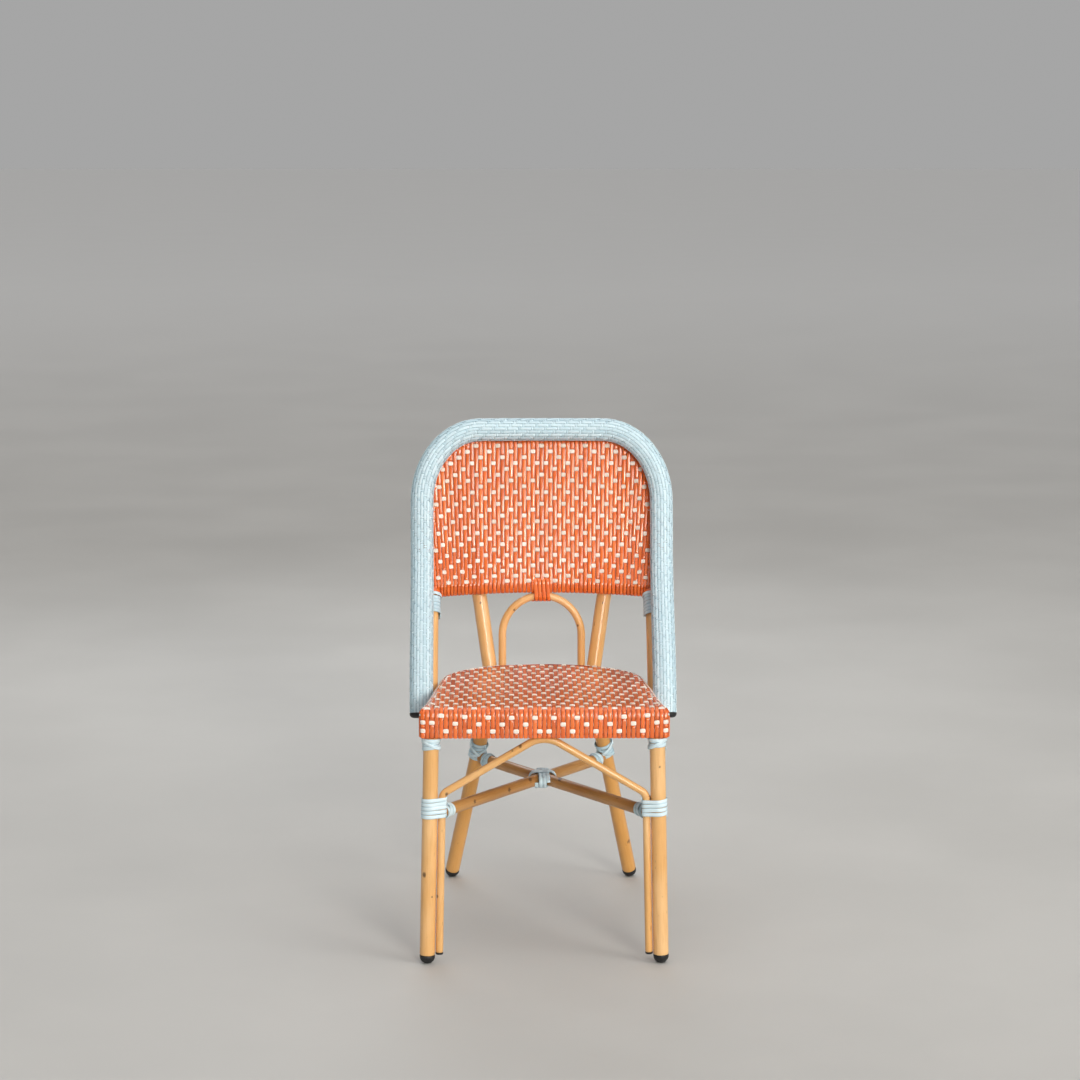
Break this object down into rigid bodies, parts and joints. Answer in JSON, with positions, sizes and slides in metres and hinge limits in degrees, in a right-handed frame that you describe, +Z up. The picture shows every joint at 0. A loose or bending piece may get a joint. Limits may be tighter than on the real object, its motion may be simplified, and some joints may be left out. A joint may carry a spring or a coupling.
{
  "type": "bistro chair",
  "caption": "Side chair with a pole frame, crossed stretchers lashed in the middle, a woven apron seat, a woven back panel and a thick bound hoop round the back.",
  "frame": {"origin": "on the floor, below the middle of the whole chair's box", "axes": "+Z up; the sitter faces -Y; +X to the right of someone who looks at the chair from its front"},
  "size_m": [0.4746, 0.5932, 0.8937],
  "materials": {
    "pole_paint": "satin",
    "bare_tube": "satin",
    "black_plastic": "satin",
    "orange_strand": "satin",
    "white_strand": "satin",
    "blue_strand": "satin"
  },
  "bodies": {
    "root": {"front_leg_left": "pole_paint", "front_leg_right": "pole_paint", "rear_leg_left": "pole_paint", "rear_leg_right": "pole_paint", "front_foot_left": "black_plastic", "rear_foot_left": "black_plastic", "brace_cap_left": "black_plastic", "leg_top_lashing_left": "blue_strand", "front_lashing_left": "blue_strand", "rear_lashing_left": "blue_strand", "front_pole_lashing_left": "blue_strand", "rear_pole_lashing_left": "blue_strand", "corner_lashing_left": "blue_strand", "front_foot_right": "black_plastic", "rear_foot_right": "black_plastic", "brace_cap_right": "black_plastic", "leg_top_lashing_right": "blue_strand", "front_lashing_right": "blue_strand", "rear_lashing_right": "blue_strand", "front_pole_lashing_right": "blue_strand", "rear_pole_lashing_right": "blue_strand", "corner_lashing_right": "blue_strand", "front_brace": "pole_paint", "stretcher_long": "pole_paint", "stretcher_short_front": "pole_paint", "stretcher_short_rear": "pole_paint", "crossing_lashing_inner": "blue_strand", "crossing_lashing_outer": "blue_strand", "seat_ring_upper": "bare_tube", "seat_ring_lower": "bare_tube", "seat_crossbar_front": "bare_tube", "seat_crossbar_rear": "bare_tube", "seat_weave": "orange_strand", "back_frame": "pole_paint", "back_lower_rail": "bare_tube", "back_weave": "orange_strand", "arch_rod": "pole_paint", "arch_binding": "orange_strand", "hoop_core": "bare_tube", "hoop_cover": "blue_strand", "hoop_plug_left": "black_plastic", "hoop_plug_right": "black_plastic"}
  },
  "joints": []
}
